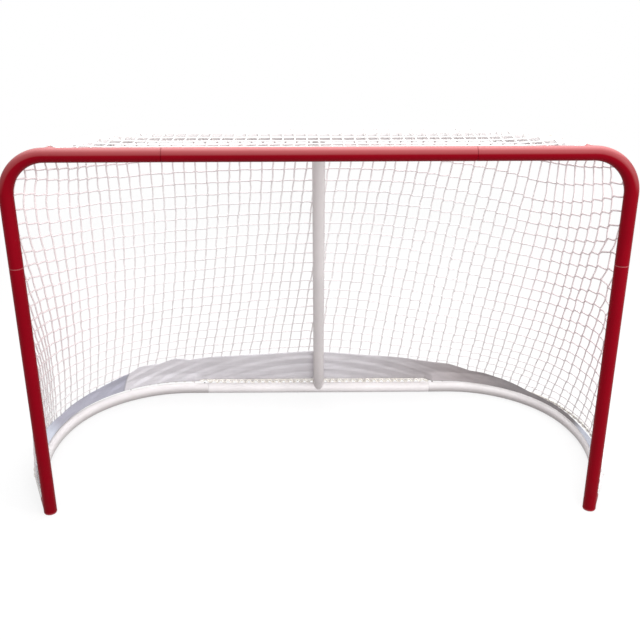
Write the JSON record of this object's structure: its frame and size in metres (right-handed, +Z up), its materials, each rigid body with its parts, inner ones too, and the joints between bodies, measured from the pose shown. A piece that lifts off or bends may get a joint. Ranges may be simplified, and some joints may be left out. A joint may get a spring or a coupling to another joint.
{
  "type": "ice hockey goal",
  "caption": "Ice hockey goal that takes apart: a round-tube mouth, base, shelf and centre post held by spring buttons, with a net and skirt laced to welded rods.",
  "frame": {"origin": "on the floor under the middle of the object's box", "axes": "+X to the right as seen from the front, along the crossbar; the mouth faces -Y; +Z up"},
  "size_m": [2.153, 0.9614, 1.2634],
  "materials": {
    "frame_red": "glossy red enamel",
    "frame_white": "glossy white enamel",
    "support_white": "satin warm white enamel",
    "rod_white": "white enamel",
    "foot_cap": "moulded red plastic",
    "net_cord": "white knotted nylon cord",
    "skirt_cloth": "pale grey woven nylon",
    "button_steel": "zinc-plated steel",
    "spring_steel": "spring steel"
  },
  "bodies": {
    "frame": {"base_rear": "frame_white", "base_rear_rod": "rod_white", "base_side_left": "frame_white", "base_side_right": "frame_white", "base_side_rod_left": "rod_white", "base_side_rod_right": "rod_white", "base_stub_left": "frame_red", "base_stub_right": "frame_red", "button_springs": "spring_steel", "centre_foot_stub": "frame_white", "centre_head_stub": "frame_white", "centre_post": "support_white", "corner_left": "frame_red", "corner_right": "frame_red", "corner_rods_left": "rod_white", "corner_rods_right": "rod_white", "crossbar": "frame_red", "crossbar_rod": "rod_white", "net_back": "net_cord", "net_side_left": "net_cord", "net_side_right": "net_cord", "net_top": "net_cord", "post_cap_left": "foot_cap", "post_cap_right": "foot_cap", "post_left": "frame_red", "post_right": "frame_red", "post_rod_left": "rod_white", "post_rod_right": "rod_white", "shelf_rear": "frame_white", "shelf_side_left": "frame_white", "shelf_side_right": "frame_white", "shelf_stub_left": "frame_red", "shelf_stub_right": "frame_red", "skirt": "skirt_cloth"},
    "base_rear_button_left": {"base_rear_button_left": "button_steel"},
    "base_rear_button_right": {"base_rear_button_right": "button_steel"},
    "base_stub_button_left": {"base_stub_button_left": "button_steel"},
    "base_stub_button_right": {"base_stub_button_right": "button_steel"},
    "centre_foot_button": {"centre_foot_button": "button_steel"},
    "centre_head_button": {"centre_head_button": "button_steel"},
    "crossbar_button_left": {"crossbar_button_left": "button_steel"},
    "crossbar_button_right": {"crossbar_button_right": "button_steel"},
    "post_button_left": {"post_button_left": "button_steel"},
    "post_button_right": {"post_button_right": "button_steel"},
    "shelf_rear_button_left": {"shelf_rear_button_left": "button_steel"},
    "shelf_rear_button_right": {"shelf_rear_button_right": "button_steel"},
    "shelf_stub_button_left": {"shelf_stub_button_left": "button_steel"},
    "shelf_stub_button_right": {"shelf_stub_button_right": "button_steel"}
  },
  "joints": [
    {"name": "base_rear_button_left_press", "type": "slide", "parent": "frame", "child": "base_rear_button_left", "axis": [0, -0.2924, -0.9563], "range_m": [0, 0.00515], "stiffness_N_per_m": 400, "springref_m": -0.002, "deforming": ["button_springs"]},
    {"name": "base_rear_button_right_press", "type": "slide", "parent": "frame", "child": "base_rear_button_right", "axis": [0, -0.2924, -0.9563], "range_m": [0, 0.00515], "stiffness_N_per_m": 400, "springref_m": -0.002, "deforming": ["button_springs"]},
    {"name": "base_stub_button_left_press", "type": "slide", "parent": "frame", "child": "base_stub_button_left", "axis": [0, 0, -1], "range_m": [0, 0.00515], "stiffness_N_per_m": 400, "springref_m": -0.002, "deforming": ["button_springs"]},
    {"name": "base_stub_button_right_press", "type": "slide", "parent": "frame", "child": "base_stub_button_right", "axis": [0, 0, -1], "range_m": [0, 0.00515], "stiffness_N_per_m": 400, "springref_m": -0.002, "deforming": ["button_springs"]},
    {"name": "centre_foot_button_press", "type": "slide", "parent": "frame", "child": "centre_foot_button", "axis": [-0.766, -0.5796, -0.2779], "range_m": [0, 0.00515], "stiffness_N_per_m": 400, "springref_m": -0.002, "deforming": ["button_springs"]},
    {"name": "centre_head_button_press", "type": "slide", "parent": "frame", "child": "centre_head_button", "axis": [-0.766, -0.5796, -0.2779], "range_m": [0, 0.00515], "stiffness_N_per_m": 400, "springref_m": -0.002, "deforming": ["button_springs"]},
    {"name": "crossbar_button_left_press", "type": "slide", "parent": "frame", "child": "crossbar_button_left", "axis": [0, -1, 0], "range_m": [0, 0.00515], "stiffness_N_per_m": 400, "springref_m": -0.002, "deforming": ["button_springs"]},
    {"name": "crossbar_button_right_press", "type": "slide", "parent": "frame", "child": "crossbar_button_right", "axis": [0, -1, 0], "range_m": [0, 0.00515], "stiffness_N_per_m": 400, "springref_m": -0.002, "deforming": ["button_springs"]},
    {"name": "post_button_left_press", "type": "slide", "parent": "frame", "child": "post_button_left", "axis": [0, -1, 0], "range_m": [0, 0.00515], "stiffness_N_per_m": 400, "springref_m": -0.002, "deforming": ["button_springs"]},
    {"name": "post_button_right_press", "type": "slide", "parent": "frame", "child": "post_button_right", "axis": [0, -1, 0], "range_m": [0, 0.00515], "stiffness_N_per_m": 400, "springref_m": -0.002, "deforming": ["button_springs"]},
    {"name": "shelf_rear_button_left_press", "type": "slide", "parent": "frame", "child": "shelf_rear_button_left", "axis": [0, 0, 1], "range_m": [0, 0.00505], "stiffness_N_per_m": 400, "springref_m": -0.002, "deforming": ["button_springs"]},
    {"name": "shelf_rear_button_right_press", "type": "slide", "parent": "frame", "child": "shelf_rear_button_right", "axis": [0, 0, 1], "range_m": [0, 0.00505], "stiffness_N_per_m": 400, "springref_m": -0.002, "deforming": ["button_springs"]},
    {"name": "shelf_stub_button_left_press", "type": "slide", "parent": "frame", "child": "shelf_stub_button_left", "axis": [0, 0, 1], "range_m": [0, 0.00505], "stiffness_N_per_m": 400, "springref_m": -0.002, "deforming": ["button_springs"]},
    {"name": "shelf_stub_button_right_press", "type": "slide", "parent": "frame", "child": "shelf_stub_button_right", "axis": [0, 0, 1], "range_m": [0, 0.00505], "stiffness_N_per_m": 400, "springref_m": -0.002, "deforming": ["button_springs"]}
  ]
}
